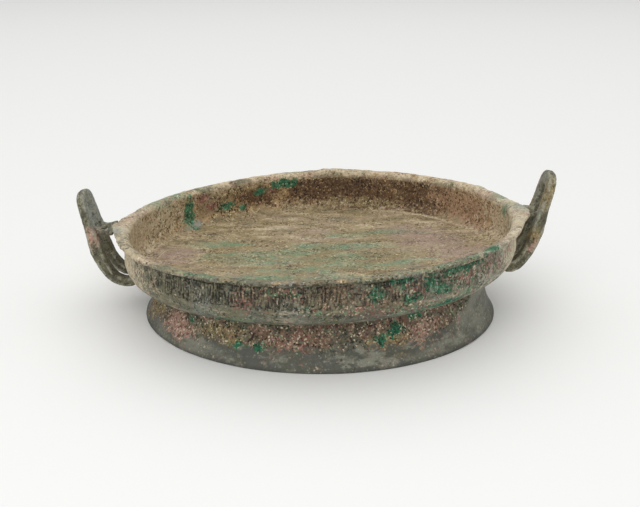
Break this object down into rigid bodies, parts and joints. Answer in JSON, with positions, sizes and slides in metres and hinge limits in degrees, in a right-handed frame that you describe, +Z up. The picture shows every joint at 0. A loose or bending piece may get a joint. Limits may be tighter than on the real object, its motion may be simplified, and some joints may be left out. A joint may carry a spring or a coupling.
{
  "type": "ritual basin",
  "caption": "Wide shallow cast-bronze bowl with a flat lip on a flared ring foot, with an upright loop handle at each side and two short struts from the lip to each handle.",
  "frame": {"origin": "on the ground under the middle of the whole length, 3.4 mm left of the middle of the foot, because the left handle stands further out", "axes": "+Z up, +X through the right handle, -Y towards the front"},
  "size_m": [0.399, 0.34, 0.1182],
  "materials": {
    "bowl_bronze": "old cast bronze with an olive, tan and green patina, dull and pitted",
    "foot_bronze": "old cast bronze, red-brown and green grains above a smooth grey-green band",
    "handle_bronze": "old cast bronze with a grey-green patina, edges a little worn",
    "spacer_bronze": "old bronze, a little browner and smoother than the floor round it"
  },
  "bodies": {
    "root": {"basin_bowl": "bowl_bronze", "ring_foot": "foot_bronze", "left_handle": "handle_bronze", "right_handle": "handle_bronze", "left_front_strut": "handle_bronze", "left_back_strut": "handle_bronze", "right_front_strut": "handle_bronze", "right_back_strut": "handle_bronze", "spacer_front_right": "spacer_bronze", "spacer_back_right": "spacer_bronze", "spacer_back_left": "spacer_bronze", "spacer_front_left": "spacer_bronze"}
  },
  "joints": []
}
